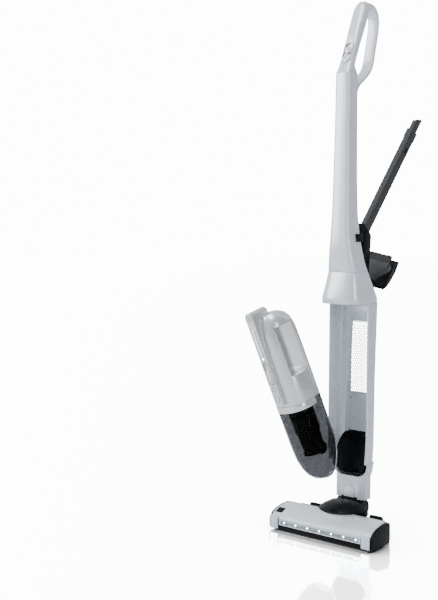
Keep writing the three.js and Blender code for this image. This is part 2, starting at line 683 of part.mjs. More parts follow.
// Accessories behind the stem: a clip, the two-part crevice tool and the furniture brush.
function accessories() {
  const tools = new THREE.Group();
  tools.position.set(...TOOL.at);
  tools.rotation.set(THREE.MathUtils.degToRad(-TOOL.tilt), THREE.MathUtils.degToRad(TOOL.side), 0, "ZYX");
  root.add(tools);
  tools.updateMatrix();
  const brush = new THREE.Group();
  brush.position.set(BRUSH.x, BRUSH.y, BRUSH.z);
  brush.rotation.z = THREE.MathUtils.degToRad(BRUSH.turn);
  tools.add(brush);
  brush.updateMatrix();

  const sleeveSections = [
    [TOOL.foot, 8, -12.5, 12.5, 3],
    [262, 8, -12.5, 12.5, 3],
    [268, 8.8, -13.3, 13.3, 3],
    [290, 8.8, -13.3, 13.3, 3],
  ];
  const sleeveBore = loft([[TOOL.foot - 5, 8, -12.5, 12.5, 3], [300, 8, -12.5, 12.5, 3]], -1.6);
  piece("crevice_sleeve", cut(loft(sleeveSections), sleeveBore), "charcoal", tools);
  const tip = TOOL.tip;
  const bladeSections = [
    [-20, 5.9, -10.4, 10.4, 2],
    [tip - 14, 5.9, -10.4, 10.4, 2],
    [tip - 8, 5.9, -3, 10.4, 2],
    [tip, 5.9, 5, 10.4, 2],
  ];
  const bladeBore = loft([[-30, 5.9, -10.4, 10.4, 2], [tip - 24, 5.9, -10.4, 10.4, 2]], -1.5);
  const blade = cut(loft(bladeSections), bladeBore);
  piece("crevice_blade", blade, "charcoal", tools);

  const funnel = loft([
    [-40, 14, -10, 10, 8],
    [-26, 24, -11, 10, 7],
    [-12, 33, -11, 9, 5],
    [-4, 33, -11, 9, 4],
    [0, 31, -11, 9, 4],
  ]);
  const neckTube = rod([0, 0, -62], [0, 0, -36], 13, 13, 32);
  const neckBore = rod([0, 0, -70], [0, 0, -22], 9, 9, 32);
  const mouth = loft([[-26, 8, -1, 7, 2], [2, 24, 0.5, 7, 2]]);
  const bristleBed = loft([[-4, 28.9, -9, -1.4, 2], [5, 28.9, -9, -1.4, 2]]);
  piece("brush_body", cut(join(funnel, neckTube), neckBore, mouth, bristleBed), "charcoal", brush);
  const bristleBlock = loft([[-3.7, 28.5, -8.6, -1.8, 2], [19.5, 28.5, -8.6, -1.8, 2]]);
  piece("brush_bristles", bristleBlock, "bristle", brush);

  const outerCurve = [[15, -56], [26, -40], [33, -18], [35, 4], [30, 28]];
  const innerCurve = [[27.5, 28], [32.2, 4], [30.3, -17], [24, -37], [13.5, -52]];
  const hood = slab([...outerCurve, ...innerCurve], -34, 34);
  const cheek = [[13.5, -52], ...outerCurve, [27.5, 28], [12, 8], [12, -30]];
  const cheekHole = slab([[17, 6], [28, 19], [30.5, 6], [26, -2]], -60, 60);
  const cheeks = [-34, 31.6].map((x) => cut(slab(cheek, x, x + 2.4), cheekHole));
  const collar = rod([0, 0, -60], [0, 0, -50], 16.6, 16.6, 32);
  const collarBore = rod([0, 0, -70], [0, 0, -36], 13.4, 13.4, 32);
  piece("brush_frame", cut(join(hood, collar, ...cheeks), collarBore), "black", brush);

  const clipBand = cut(
    loft([[640, 28, 2, 56, 12], [657, 27, 0, 55, 12]], 2.6),
    loft([[632, 28.7, -4, 54.8, 12.4], [665, 25, -4, 50, 11]], 0.4),
    box(-60, 60, -60, 24, 600, 700),
  );
  const sleeveRoom = box(-9.3, 9.3, -13.8, 30, -40, 40);
  const cradle = cut(box(-12.5, 12.5, -27, 15.5, -12, 12), sleeveRoom);
  const webSide = [[-10, 8], [14, 8], [68, -56], [70, -77.2], [96, -77.2], [96, -84], [66, -84], [-10, -11]];
  const web = slab(webSide, 9.4, 15);
  const foot = rod([BRUSH.x, BRUSH.y, -84], [BRUSH.x, BRUSH.y, -77.2], 14, 14, 32);
  const peg = rod([BRUSH.x, BRUSH.y, -80], [BRUSH.x, BRUSH.y, -44], 8.6, 8.6, 32);
  const holder = placed(join(cradle, web, foot, peg), tools.matrix);
  const bridge = cut(box(-9, 9, 48, 78, 640, 668), placed(sleeveRoom, tools.matrix));
  piece("accessory_clip", join(clipBand, cut(join(holder, bridge), loft(STEM, 0.4))), "black");
}

floorHead();
neck();
stick();
handheld();
accessories();

export default root;
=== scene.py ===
import json
import math
import bmesh
import bpy
from mathutils import Matrix, Vector


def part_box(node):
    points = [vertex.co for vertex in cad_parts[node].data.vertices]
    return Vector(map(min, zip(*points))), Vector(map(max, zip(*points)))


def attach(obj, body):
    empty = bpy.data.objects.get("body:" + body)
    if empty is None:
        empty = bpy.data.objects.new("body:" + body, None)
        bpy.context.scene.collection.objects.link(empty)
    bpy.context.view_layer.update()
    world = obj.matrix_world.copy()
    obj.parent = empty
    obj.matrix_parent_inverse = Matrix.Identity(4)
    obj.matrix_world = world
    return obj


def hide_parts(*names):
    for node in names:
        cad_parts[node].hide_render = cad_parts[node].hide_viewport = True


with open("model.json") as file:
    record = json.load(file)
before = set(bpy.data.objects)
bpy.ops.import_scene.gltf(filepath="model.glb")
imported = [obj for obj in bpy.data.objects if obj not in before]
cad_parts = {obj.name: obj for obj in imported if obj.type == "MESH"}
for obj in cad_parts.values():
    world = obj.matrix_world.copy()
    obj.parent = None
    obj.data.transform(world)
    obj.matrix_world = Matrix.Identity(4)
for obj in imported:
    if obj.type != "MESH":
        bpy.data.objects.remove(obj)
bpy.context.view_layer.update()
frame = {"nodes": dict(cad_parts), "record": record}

# Chassis and end caps of the floor head: black ABS, moulded in one shot and left with a fine eroded grain.
# The chassis carries every other part of the head; the caps close its ends and are clipped on.
body_of = {node: body for body, nodes in frame["record"]["behaviour"]["bodies"].items() for node in nodes}


def group_socket(tree, name, way, kind, value=None):
    socket = tree.interface.new_socket(name=name, in_out=way, socket_type=kind)
    if value is not None:
        socket.default_value = value


def make_surface_grain():
    tree = bpy.data.node_groups.new("surface_grain", "ShaderNodeTree")
    group_socket(tree, "Grain Scale", "INPUT", "NodeSocketFloat", 1500.0)
    group_socket(tree, "Cloud Scale", "INPUT", "NodeSocketFloat", 18.0)
    group_socket(tree, "Grain", "OUTPUT", "NodeSocketFloat")
    group_socket(tree, "Cloud", "OUTPUT", "NodeSocketFloat")
    nodes, links = tree.nodes, tree.links
    given, made = nodes.new("NodeGroupInput"), nodes.new("NodeGroupOutput")
    place = nodes.new("ShaderNodeTexCoord")
    grain, cloud = nodes.new("ShaderNodeTexNoise"), nodes.new("ShaderNodeTexNoise")
    grain.inputs["Detail"].default_value = 2.0
    cloud.inputs["Detail"].default_value = 4.0
    for texture, scale, result in ((grain, "Grain Scale", "Grain"), (cloud, "Cloud Scale", "Cloud")):
        links.new(place.outputs["Object"], texture.inputs["Vector"])
        links.new(given.outputs[scale], texture.inputs["Scale"])
        links.new(texture.outputs["Fac"], made.inputs[result])
    return tree


def make_edge_wear():
    tree = bpy.data.node_groups.new("edge_wear", "ShaderNodeTree")
    group_socket(tree, "Radius", "INPUT", "NodeSocketFloat", 0.001)
    group_socket(tree, "Edge", "OUTPUT", "NodeSocketFloat")
    group_socket(tree, "Normal", "OUTPUT", "NodeSocketVector")
    nodes, links = tree.nodes, tree.links
    given, made = nodes.new("NodeGroupInput"), nodes.new("NodeGroupOutput")
    rounded, flat = nodes.new("ShaderNodeBevel"), nodes.new("ShaderNodeNewGeometry")
    rounded.samples = 4
    across, turned = nodes.new("ShaderNodeVectorMath"), nodes.new("ShaderNodeMath")
    across.operation = "DOT_PRODUCT"
    turned.operation = "SUBTRACT"
    turned.inputs[0].default_value = 1.0
    turned.use_clamp = True
    spread = nodes.new("ShaderNodeMapRange")
    spread.inputs["From Min"].default_value = 0.04
    spread.inputs["From Max"].default_value = 0.30
    links.new(given.outputs["Radius"], rounded.inputs["Radius"])
    links.new(rounded.outputs["Normal"], across.inputs[0])
    links.new(flat.outputs["Normal"], across.inputs[1])
    links.new(across.outputs["Value"], turned.inputs[1])
    links.new(turned.outputs["Value"], spread.inputs["Value"])
    links.new(spread.outputs["Result"], made.inputs["Edge"])
    links.new(rounded.outputs["Normal"], made.inputs["Normal"])
    return tree


surface_grain = make_surface_grain()
edge_wear = make_edge_wear()


def finish(name, colour, worn, roughness, grain=1500.0, depth=0.00003, strength=0.25, uneven=0.10, tone=0.06,
           radius=0.0010, **fixed):
    """A finish with its colour, its colour where edges are rubbed, and how coarse and deep its grain is."""
    material = bpy.data.materials.new(name)
    material.use_nodes = True
    nodes, links = material.node_tree.nodes, material.node_tree.links
    shader = nodes["Principled BSDF"]
    surface, wear = nodes.new("ShaderNodeGroup"), nodes.new("ShaderNodeGroup")
    surface.node_tree, wear.node_tree = surface_grain, edge_wear
    surface.inputs["Grain Scale"].default_value = grain
    wear.inputs["Radius"].default_value = radius
    shade = nodes.new("ShaderNodeMix")
    shade.data_type = "RGBA"
    rubbed = nodes.new("ShaderNodeMix")
    rubbed.data_type = "RGBA"
    shade.inputs["A"].default_value = tuple(c * (1 - tone) for c in colour) + (1,)
    shade.inputs["B"].default_value = tuple(min(1.0, c * (1 + tone)) for c in colour) + (1,)
    rubbed.inputs["B"].default_value = tuple(worn) + (1,)
    links.new(surface.outputs["Cloud"], shade.inputs["Factor"])
    links.new(shade.outputs["Result"], rubbed.inputs["A"])
    links.new(wear.outputs["Edge"], rubbed.inputs["Factor"])
    links.new(rubbed.outputs["Result"], shader.inputs["Base Color"])
    spread = nodes.new("ShaderNodeMapRange")
    spread.inputs["From Min"].default_value = 0.3
    spread.inputs["From Max"].default_value = 0.7
    spread.inputs["To Min"].default_value = max(0.02, roughness - uneven)
    spread.inputs["To Max"].default_value = min(1.0, roughness + uneven)
    links.new(surface.outputs["Cloud"], spread.inputs["Value"])
    links.new(spread.outputs["Result"], shader.inputs["Roughness"])
    bump = nodes.new("ShaderNodeBump")
    bump.inputs["Strength"].default_value = strength
    bump.inputs["Distance"].default_value = depth
    links.new(surface.outputs["Grain"], bump.inputs["Height"])
    links.new(wear.outputs["Normal"], bump.inputs["Normal"])
    links.new(bump.outputs["Normal"], shader.inputs["Normal"])
    for socket, value in fixed.items():
        shader.inputs[socket.replace("_", " ")].default_value = value
    return material


def softened(node, material, edge=0.0005, crease=math.radians(32)):
    """The moulding as it leaves the tool: one skin, its edges eased, its curves shaded smooth."""
    mesh = frame["nodes"][node].data.copy()
    mesh.name = node + "_skin"
    work = bmesh.new()
    work.from_mesh(mesh)
    bmesh.ops.remove_doubles(work, verts=work.verts, dist=0.00002)
    bmesh.ops.dissolve_limit(work, angle_limit=math.radians(0.6), verts=work.verts, edges=work.edges)
    work.normal_update()
    sharp = [e for e in work.edges if len(e.link_faces) == 2 and e.calc_face_angle(0) > crease]
    if sharp:
        bmesh.ops.bevel(work, geom=sharp, offset=edge, segments=2, affect="EDGES", clamp_overlap=True,
                        profile=0.6)
    for f in work.faces:
        f.smooth = True
    for e in work.edges:
        if len(e.link_faces) == 2 and e.calc_face_angle(0) > crease:
            e.smooth = False
    work.to_mesh(mesh)
    work.free()
    mesh.materials.clear()
    mesh.materials.append(material)
    skin = bpy.data.objects.new(node + "_skin", mesh)
    bpy.context.scene.collection.objects.link(skin)
    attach(skin, body_of[node])
    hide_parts(node)


BLACK = finish("black_moulding", (0.0020, 0.0022, 0.0030), (0.012, 0.012, 0.015), 0.42, grain=1700,
               strength=0.3, Specular_IOR_Level=0.10)
for node in ("head_chassis", "end_cap_left", "end_cap_right"):
    softened(node, BLACK)

# Sole plate: dark grey nylon that slides on the floor, so its grain is coarser and its edges rub pale.
# It is a flat moulding screwed up into the chassis round the mouth.
CHARCOAL = finish("charcoal_moulding", (0.018, 0.020, 0.021), (0.08, 0.085, 0.09), 0.48, grain=1100,
                  depth=0.00006, strength=0.5, Specular_IOR_Level=0.4)
softened("sole_plate", CHARCOAL)

# Brush roll: a black core between two journals with a sleeve of nylon tufts in two spiral rows.
# Each tuft is folded into its own hole, so all of them are single pegs set along the spiral.
BRISTLE = finish("nylon_bristle", (0.014, 0.014, 0.016), (0.05, 0.05, 0.055), 0.6, grain=2400, strength=0.6,
                 tone=0.4)


def make_peg_tree():
    tree = bpy.data.node_groups.new("set_pegs", "GeometryNodeTree")
    group_socket(tree, "Geometry", "INPUT", "NodeSocketGeometry")
    group_socket(tree, "Foot Radius", "INPUT", "NodeSocketFloat", 0.001)
    group_socket(tree, "Tip Radius", "INPUT", "NodeSocketFloat", 0.0005)
    group_socket(tree, "Height", "INPUT", "NodeSocketFloat", 0.01)
    group_socket(tree, "Sides", "INPUT", "NodeSocketInt", 8)
    group_socket(tree, "Unevenness", "INPUT", "NodeSocketFloat", 0.0)
    group_socket(tree, "Seed", "INPUT", "NodeSocketInt", 7)
    group_socket(tree, "Material", "INPUT", "NodeSocketMaterial")
    group_socket(tree, "Geometry", "OUTPUT", "NodeSocketGeometry")
    nodes, links = tree.nodes, tree.links
    given, made = nodes.new("NodeGroupInput"), nodes.new("NodeGroupOutput")
    peg = nodes.new("GeometryNodeMeshCone")
    aim = nodes.new("GeometryNodeInputNamedAttribute")
    aim.data_type = "FLOAT_VECTOR"
    aim.inputs["Name"].default_value = "aim"
    turn = nodes.new("FunctionNodeAlignRotationToVector")
    turn.axis = "Z"
    lift = nodes.new("FunctionNodeRandomValue")
    low, high = nodes.new("ShaderNodeMath"), nodes.new("ShaderNodeMath")
    float_min, float_max, float_value = 2, 3, 1
    low.operation, high.operation = "SUBTRACT", "ADD"
    low.inputs[0].default_value = high.inputs[0].default_value = 1.0
    spot = nodes.new("GeometryNodeInstanceOnPoints")
    real, paint = nodes.new("GeometryNodeRealizeInstances"), nodes.new("GeometryNodeSetMaterial")
    links.new(given.outputs["Geometry"], spot.inputs["Points"])
    links.new(given.outputs["Foot Radius"], peg.inputs["Radius Bottom"])
    links.new(given.outputs["Tip Radius"], peg.inputs["Radius Top"])
    links.new(given.outputs["Height"], peg.inputs["Depth"])
    links.new(given.outputs["Sides"], peg.inputs["Vertices"])
    links.new(given.outputs["Unevenness"], low.inputs[1])
    links.new(given.outputs["Unevenness"], high.inputs[1])
    links.new(low.outputs["Value"], lift.inputs[float_min])
    links.new(high.outputs["Value"], lift.inputs[float_max])
    links.new(given.outputs["Seed"], lift.inputs["Seed"])
    links.new(aim.outputs["Attribute"], turn.inputs["Vector"])
    links.new(peg.outputs["Mesh"], spot.inputs["Instance"])
    links.new(turn.outputs["Rotation"], spot.inputs["Rotation"])
    links.new(lift.outputs[float_value], spot.inputs["Scale"])
    links.new(spot.outputs["Instances"], real.inputs["Geometry"])
    links.new(real.outputs["Geometry"], paint.inputs["Geometry"])
    links.new(given.outputs["Material"], paint.inputs["Material"])
    links.new(paint.outputs["Geometry"], made.inputs["Geometry"])
    return tree


peg_tree = make_peg_tree()


def hand_over(name, mesh, material, body, replaces=()):
    """Puts a finished mesh in the scene as a piece that rides on its body."""
    mesh.materials.clear()
    mesh.materials.append(material)
    made = bpy.data.objects.new(name, mesh)
    bpy.context.scene.collection.objects.link(made)
    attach(made, body)
    if replaces:
        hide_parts(*replaces)


def pegs(name, places, material, body, foot, tip, height, sides=8, unevenness=0.0, seed=7, replaces=()):
    """Sets a tapered peg on each (point, direction) of places and hands it over as one piece."""
    points = bpy.data.meshes.new(name)
    points.from_pydata([place for place, direction in places], [], [])
    aims = points.attributes.new("aim", "FLOAT_VECTOR", "POINT")
    for i, (place, direction) in enumerate(places):
        aims.data[i].vector = direction
    carrier = bpy.data.objects.new(name + "_points", points)
    bpy.context.scene.collection.objects.link(carrier)
    setter = carrier.modifiers.new("pegs", "NODES")
    setter.node_group = peg_tree
    sizes = {"Foot Radius": foot, "Tip Radius": tip, "Height": height, "Sides": sides, "Unevenness": unevenness,
             "Seed": seed, "Material": material}
    for item in peg_tree.interface.items_tree:
        if item.in_out == "INPUT" and item.name in sizes:
            setter[item.identifier] = sizes[item.name]
    seen = carrier.evaluated_get(bpy.context.evaluated_depsgraph_get())
    mesh = bpy.data.meshes.new_from_object(seen)
    bpy.data.objects.remove(carrier)
    mesh.name = name
    hand_over(name, mesh, material, body, replaces)


softened("brush_roll_core", BLACK)
softened("roll_bristles", BRISTLE)
roll_y, roll_z = -0.042, 0.020
tuft_foot, tuft_reach = 0.0112, 0.0056
tufts_per_row = 110
tufts = []
for row in range(2):
    for i in range(tufts_per_row):
        along = i / (tufts_per_row - 1)
        angle = math.pi * (1.5 * along + row) + 0.3
        direction = (0.0, math.cos(angle), math.sin(angle))
        foot_at = (-0.103 + 0.204 * along, roll_y + tuft_foot * direction[1], roll_z + tuft_foot * direction[2])
        tufts.append((foot_at, direction))
pegs("roll_tufts", tufts, BRISTLE, "brush_roll", 0.0010, 0.0013, tuft_reach, sides=6,
     unevenness=0.02)

# Drive and axles: a canned motor, its pulley and two wheel axles, all turned or drawn steel.
# They sit in the chassis behind the roll, where only a little of them can be seen from below.
STEEL = finish("brushed_steel", (0.52, 0.53, 0.55), (0.75, 0.75, 0.76), 0.32, grain=2200, strength=0.3,
               Metallic=1.0)
for node in ("brush_motor", "motor_pulley", "wheel_axle_left", "wheel_axle_right"):
    softened(node, STEEL)

# Belt and rear wheels: black rubber, matt, a little dusty and rough all over.
# The belt joins the two pulleys; the wheels turn on the axles behind the head.
RUBBER = finish("black_rubber", (0.018, 0.018, 0.019), (0.04, 0.04, 0.04), 0.78, grain=900, depth=0.00006,
                strength=0.5)
for node in ("drive_belt", "rear_wheel_left", "rear_wheel_right"):
    softened(node, RUBBER)

# Cover of the floor head: pearl lacquer with a clear coat over an ABS moulding that snaps onto the chassis.
# A dark insert is let into its left end, and a soft grey pad guards each front corner.
PEARL = finish("pearl_lacquer", (0.60, 0.645, 0.70), (0.84, 0.87, 0.90), 0.27, grain=2600, strength=0.08,
               uneven=0.05, tone=0.03, radius=0.0016, Metallic=0.25, Coat_Weight=0.5, Coat_Roughness=0.08)
PAD = finish("grey_blue_pad", (0.50, 0.57, 0.65), (0.62, 0.68, 0.75), 0.5, grain=1400, strength=0.3)


def oblong(half_across, low, high):
    return [(-half_across, low), (half_across, low), (half_across, high), (-half_across, high)]


def plate_mesh(name, outline, place, thickness):
    """A flat plate with an outline of (across, up) points, laid out and thickened by the given matrix."""
    work = bmesh.new()
    face = work.faces.new([work.verts.new((x, 0.0, z)) for x, z in outline])
    lifted = bmesh.ops.extrude_face_region(work, geom=[face])
    for v in lifted["geom"]:
        if isinstance(v, bmesh.types.BMVert):
            v.co.y -= thickness
    bmesh.ops.recalc_face_normals(work, faces=work.faces)
    work.transform(place)
    mesh = bpy.data.meshes.new(name)
    work.to_mesh(mesh)
    work.free()
    return mesh


softened("head_cover", PEARL)
for side in ("left", "right"):
    softened("corner_pad_" + side, PAD)
insert_half, insert_thickness = 0.0085, 0.0005
cover_slope = math.atan2(0.007, 0.017)
insert_turn = Matrix.Rotation(cover_slope - math.radians(90), 4, "X")
insert_place = Matrix.Translation((-0.1135, -0.0530, 0.0418)) @ insert_turn
insert_outline = oblong(insert_half, -insert_half, insert_half)
insert = plate_mesh("cover_insert", insert_outline, insert_place, insert_thickness)
hand_over("cover_insert", insert, BLACK, "floor_head")

# Lit front edge: white lamps on a green board behind a clear lens, about 31 mm apart, in a pale frame.
# The lens and its frame are clipped into the chassis under the cover's front lip.
BOARD = finish("circuit_board", (0.02, 0.13, 0.07), (0.30, 0.28, 0.12), 0.45, grain=700, strength=0.5, tone=0.3)
LENS = finish("clear_lens", (0.93, 0.95, 1.0), (1.0, 1.0, 1.0), 0.12, grain=900, strength=0.15, uneven=0.04,
              tone=0.02, Transmission_Weight=0.9, IOR=1.15, Emission_Color=(0.9, 0.95, 1.0, 1),
              Emission_Strength=0.05)
LAMP = finish("white_lamp", (1.0, 1.0, 1.0), (1.0, 1.0, 1.0), 0.3, grain=900, strength=0.05,
              Emission_Color=(0.92, 0.97, 1.0, 1), Emission_Strength=26.0)


def ring_plate(name, outer, inner, place, thickness):
    """A flat ring between two outlines with as many points each, raised by its thickness."""
    work = bmesh.new()
    loops = [[work.verts.new((x, depth, z)) for x, z in outline]
             for outline, depth in ((outer, 0.0), (outer, -thickness), (inner, -thickness), (inner, 0.0))]
    for near, far in zip(loops, loops[1:] + loops[:1]):
        for i in range(len(outer)):
            k = (i + 1) % len(outer)
            work.faces.new((near[i], near[k], far[k], far[i]))
    bmesh.ops.recalc_face_normals(work, faces=work.faces)
    work.transform(place)
    mesh = bpy.data.meshes.new(name)
    work.to_mesh(mesh)
    work.free()
    return mesh


softened("led_lens", LENS)
softened("led_board", BOARD)
board_low, board_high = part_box("led_board")
lamp_pitch = 0.0307
lamp_z = (board_low[2] + board_high[2]) / 2
lamps = [((x * lamp_pitch, board_low[1] + 0.0001, lamp_z), (0, -1, 0)) for x in range(-3, 4)]
pegs("head_lamps", lamps, LAMP, "floor_head", 0.0022, 0.0014, 0.0004, sides=12)
lens_low, lens_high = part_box("led_lens")
strip_outer = oblong(0.1045, lens_low[2] - 0.0012, lens_high[2] + 0.0008)
strip_inner = oblong(0.1000, lens_low[2] + 0.0010, lens_high[2] - 0.0012)
strip_place = Matrix.Translation((0, lens_low[1], 0))
strip_frame = ring_plate("strip_frame", strip_outer, strip_inner, strip_place, 0.0007)
hand_over("strip_frame", strip_frame, PAD, "floor_head")

# Neck: a black turntable on the floor head with two cheeks that hold the steel recline pin.
# A round cap covers each end of the pin.
for node in ("neck_turntable", "pivot_disc_left", "pivot_disc_right"):
    softened(node, BLACK)
softened("pivot_pin", STEEL)

# Foot of the stick: the black yoke on the pin is plugged into the lacquered column, with the arched
# release button in front. Air rises through a rubber tube into the black socket that the container docks on.
softened("pivot_yoke", BLACK)
softened("column_shell", PEARL)
softened("head_release_button", PEARL)
softened("suction_tube", RUBBER)
softened("docking_socket", BLACK)

# Bay: an open lacquered trough for the handheld unit, with screws through its back wall and two ribs
# that stiffen its lower half.
softened("bay_shell", PEARL)
bay_back_y = 0.0873
screw_places = ((0.036, 0.480), (-0.020, 0.288), (-0.026, 0.214), (-0.036, 0.480), (0.036, 0.235))
bay_screws = [((x, bay_back_y, z), (0, -1, 0)) for x, z in screw_places]
pegs("bay_screws", bay_screws, STEEL, "stick", 0.0032, 0.0026, 0.0012, sides=16)
rib_outline, rib_thickness = oblong(0.0012, 0.208, 0.292), 0.0022
for side, rib_x in (("left", -0.027), ("right", 0.027)):
    rib = plate_mesh("bay_rib", rib_outline, Matrix.Translation((rib_x, bay_back_y, 0)), rib_thickness)
    hand_over("bay_rib_" + side, rib, PEARL, "stick")

# Rear vent of the bay: a moulded honeycomb of thin webs in a flat frame, open to the air behind.
# Its cells stand in staggered rows and each is a short six-sided tube.
vent_low, vent_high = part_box("grille_panel")
cell, web, rise = 0.0066, 0.0011, 0.0066 * math.sqrt(3) / 2
vent = bmesh.new()


def vent_block(x0, x1, z0, z1, y0, y1):
    corners = [vent.verts.new((x, y, z)) for x in (x0, x1) for y in (y0, y1) for z in (z0, z1)]
    for ids in ((0, 1, 3, 2), (4, 6, 7, 5), (0, 4, 5, 1), (2, 3, 7, 6), (0, 2, 6, 4), (1, 5, 7, 3)):
        vent.faces.new([corners[i] for i in ids])


rim = 0.0022
for edges in ((vent_low[0], vent_high[0], vent_low[2], vent_low[2] + rim),
              (vent_low[0], vent_high[0], vent_high[2] - rim, vent_high[2]),
              (vent_low[0], vent_low[0] + rim, vent_low[2] + rim, vent_high[2] - rim),
              (vent_high[0] - rim, vent_high[0], vent_low[2] + rim, vent_high[2] - rim)):
    vent_block(*edges, vent_low[1], vent_high[1])
rows = int((vent_high[2] - vent_low[2] - 2 * rim) / rise)
for row in range(rows):
    z = vent_low[2] + rim + rise * (row + 0.5)
    shift = 0.5 * cell if row % 2 else 0.0
    for column in range(-3, 4):
        x = cell * column + shift
        if not vent_low[0] + cell * 0.55 < x < vent_high[0] - cell * 0.55:
            continue
        rings = []
        for depth in (vent_low[1] + 0.0003, vent_high[1] - 0.0003):
            for size in (cell / math.sqrt(3), cell / math.sqrt(3) - web * 0.62):
                rings.append([vent.verts.new((x + size * math.sin(math.pi / 3 * k), depth,
                                              z + size * math.cos(math.pi / 3 * k))) for k in range(6)])
        outer_front, inner_front, outer_back, inner_back = rings
        for k in range(6):
            n = (k + 1) % 6
            vent.faces.new((outer_front[k], outer_front[n], inner_front[n], inner_front[k]))
            vent.faces.new((outer_back[n], outer_back[k], inner_back[k], inner_back[n]))
            vent.faces.new((inner_front[k], inner_front[n], inner_back[n], inner_back[k]))
            vent.faces.new((outer_front[n], outer_front[k], outer_back[k], outer_back[n]))
bmesh.ops.recalc_face_normals(vent, faces=vent.faces)
vent_mesh = bpy.data.meshes.new("vent_honeycomb")
vent.to_mesh(vent_mesh)
vent.free()
hand_over("vent_honeycomb", vent_mesh, PEARL, "stick", ("grille_panel",))

# Upper housing: lacquered shell and ceiling over the battery, its board and the gold contact strip.
# The contacts sit in a black block that meets the handheld unit; the charging socket opens at the back.
BRASS = finish("contact_brass", (0.72, 0.52, 0.20), (0.85, 0.70, 0.40), 0.3, grain=2200, strength=0.2,
               Metallic=1.0)
CELLS = finish("battery_wrap", (0.03, 0.05, 0.09), (0.10, 0.13, 0.18), 0.35, grain=900, strength=0.3, tone=0.15)
for node, material in (("upper_housing", PEARL), ("bay_ceiling", PEARL), ("contact_block", BLACK),
                       ("contact_bar", BRASS), ("battery_pack", CELLS), ("control_board", BOARD),
                       ("charging_socket", BLACK)):
    softened(node, material)

# Stem, grip and loop handle: three lacquered mouldings in line, with a steel bezel let into the grip.
# The power slide and the button under it are moulded in the same finish and move inside the bezel.
for node in ("stem_shell", "grip", "power_slider", "boost_button", "handle_loop"):
    softened(node, PEARL)
softened("switch_bezel", STEEL, edge=0.0008)

# Dust container: smoked clear plastic with a silver collar, a rubber inlet flap and a black pleated filter.
# The filter's cage has upright ribs that hold a fine mesh. All of it hangs from the swung handheld unit.
SMOKE = finish("smoked_clear", (0.30, 0.305, 0.315), (0.42, 0.44, 0.45), 0.04, grain=700, strength=0.02,
               uneven=0.02, tone=0.02, Transmission_Weight=1.0, IOR=1.10)
SILVER = finish("silver_lacquer", (0.62, 0.63, 0.64), (0.85, 0.86, 0.87), 0.26, grain=3200, strength=0.12,
                uneven=0.05, tone=0.03, radius=0.0016, Metallic=0.72, Coat_Weight=0.3, Coat_Roughness=0.06)
for node, material in (("dust_container", SMOKE), ("inlet_flap", RUBBER), ("container_collar", SILVER),
                       ("filter_cartridge", BLACK)):
    softened(node, material)
swing_at = Vector((-0.050, -0.054, -0.042))
swing_turn = Matrix.Rotation(math.radians(21), 4, Vector((0.69, -0.635, -0.346)))
swung = Matrix.Translation(swing_at) @ swing_turn @ Matrix.Translation(-swing_at)
filter_y, filter_low, filter_high = 0.035, 0.212, 0.272
cage_r, cage_ribs = 0.0276, 40
rib_direction = tuple(swung.to_3x3() @ Vector((0, 0, 1)))
cage = []
for i in range(cage_ribs):
    a = 2 * math.pi * i / cage_ribs
    spot = swung @ Vector((cage_r * math.cos(a), filter_y + cage_r * math.sin(a), filter_low))
    cage.append((tuple(spot), rib_direction))
pegs("filter_ribs", cage, CHARCOAL, "container", 0.0007, 0.0007, filter_high - filter_low, sides=6)

# Motor unit: a silver lacquered casing with the hand opening, over the steel motor and its nylon fan.
# The motor is pressed in from below and the fan sits on its shaft, above the filter.
for node, material in (("motor_casing", SILVER), ("suction_motor", STEEL), ("suction_fan", CHARCOAL)):
    softened(node, material)

# Front bar of the handheld unit: a silver strip with two disc buttons, a slider and a charge lamp window.
# Fine printed rings and marks stand round them, and two glossy white inserts are glued between.
MARK = finish("printed_mark", (0.09, 0.09, 0.10), (0.12, 0.12, 0.13), 0.5, grain=1500, strength=0.1)
GLOSS_WHITE = finish("glossy_insert", (0.84, 0.86, 0.88), (0.9, 0.9, 0.92), 0.12, grain=1500, strength=0.04,
                     uneven=0.03, Coat_Weight=0.6)
for node in ("front_bar", "unit_release_button", "container_release_button", "speed_slider"):
    softened(node, SILVER)
softened("charge_window", LENS)
bar_face = -0.0200
release_z, bin_z, slider_z, charge_z = 0.488, 0.303, 0.362, 0.325
plus_z, button_rise = 0.340, 0.0008
ring_width, ring_thickness = 0.0009, 0.0002


def circle(radius, count=28):
    return [(radius * math.sin(2 * math.pi * i / count), radius * math.cos(2 * math.pi * i / count))
            for i in range(count)]


def slim(half, straight):
    """A slim outline with half-round ends and straight sides of the given length."""
    top = []
    for i in range(10):
        a = math.radians(90 - 20 * i)
        top.append((half * math.sin(a), straight / 2 + half * math.cos(a)))
    return top + [(-x, -z) for x, z in top]


def on_bar(name, outline, height, material, thickness=0.0004, depth=0.0, body="handheld"):
    mesh = plate_mesh(name, outline, swung @ Matrix.Translation((0, bar_face - depth, height)), thickness)
    hand_over(name, mesh, material, body)


on_bar("plus_mark_up", oblong(0.0006, -0.003, 0.003), plus_z, MARK)
on_bar("plus_mark_across", oblong(0.003, -0.0006, 0.0006), plus_z, MARK, thickness=0.0005)
on_bar("button_mark", circle(0.0018), release_z, MARK, thickness=0.0002, depth=button_rise,
       body="unit_release")
on_bar("bulge_upper", slim(0.0034, 0.030), 0.446, GLOSS_WHITE, thickness=0.0016)
on_bar("bulge_lower", slim(0.0034, 0.022), 0.414, GLOSS_WHITE, thickness=0.0014)
on_bar("slider_lamp", circle(0.0016), 0.396, LAMP, thickness=0.0003)
for name, height, half, straight in (("release_ring", release_z, 0.0066, 0), ("bin_ring", bin_z, 0.0066, 0),
                                     ("slider_ring", slider_z, 0.0070, 0.038),
                                     ("charge_ring", charge_z, 0.0036, 0.005)):
    ring = ring_plate(name, slim(half + ring_width, straight), slim(half, straight),
                      swung @ Matrix.Translation((0, bar_face, height)), ring_thickness)
    hand_over(name, ring, MARK, "handheld")

